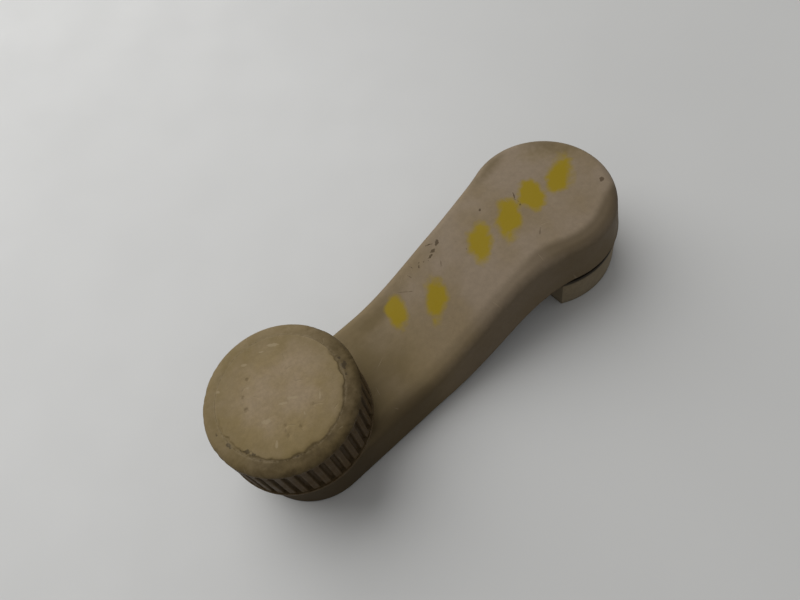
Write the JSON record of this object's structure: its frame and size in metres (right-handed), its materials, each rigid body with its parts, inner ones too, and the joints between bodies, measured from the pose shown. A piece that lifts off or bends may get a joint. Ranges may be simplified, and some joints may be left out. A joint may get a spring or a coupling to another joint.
{
  "type": "window crank handle",
  "caption": "Moulded window crank arm with a splined hub, a spring clip and a fluted round knob that turns on a riveted spindle.",
  "frame": {"origin": "on the hub axis at the door-side face, at the mouth of the drive socket", "axes": "+X from the hub to the knob, +Y across the arm, +Z away from the door along the hub and knob axes"},
  "size_m": [0.1297, 0.0436, 0.0356],
  "materials": {
    "arm_plastic": "worn satin moulded plastic",
    "carrier_plastic": "plain moulded plastic",
    "knob_plastic": "worn satin moulded plastic",
    "steel": "plain rolled steel",
    "spring_steel": "blued spring steel",
    "insert_metal": "die-cast metal",
    "bush_plastic": "smooth white plastic"
  },
  "bodies": {
    "handle": {"arm_cover": "arm_plastic", "arm_carrier": "carrier_plastic", "core_strip": "steel", "drive_insert": "insert_metal", "knob_spindle": "steel", "backing_washer": "steel", "thrust_washer": "bush_plastic", "wave_washer": "spring_steel", "retaining_ring": "spring_steel"},
    "clip": {"retaining_clip": "spring_steel"},
    "knob": {"knob_grip": "knob_plastic", "knob_cap": "knob_plastic", "knob_bush": "bush_plastic"}
  },
  "joints": [
    {"name": "knob_spin", "type": "hinge", "parent": "handle", "child": "knob", "pos_m": [0.0885, 0, 0.02], "axis": [0, 0, 1], "continuous": true},
    {"name": "clip_release", "type": "slide", "parent": "handle", "child": "clip", "axis": [1, 0, 0], "range_m": [0, 0.014]}
  ]
}
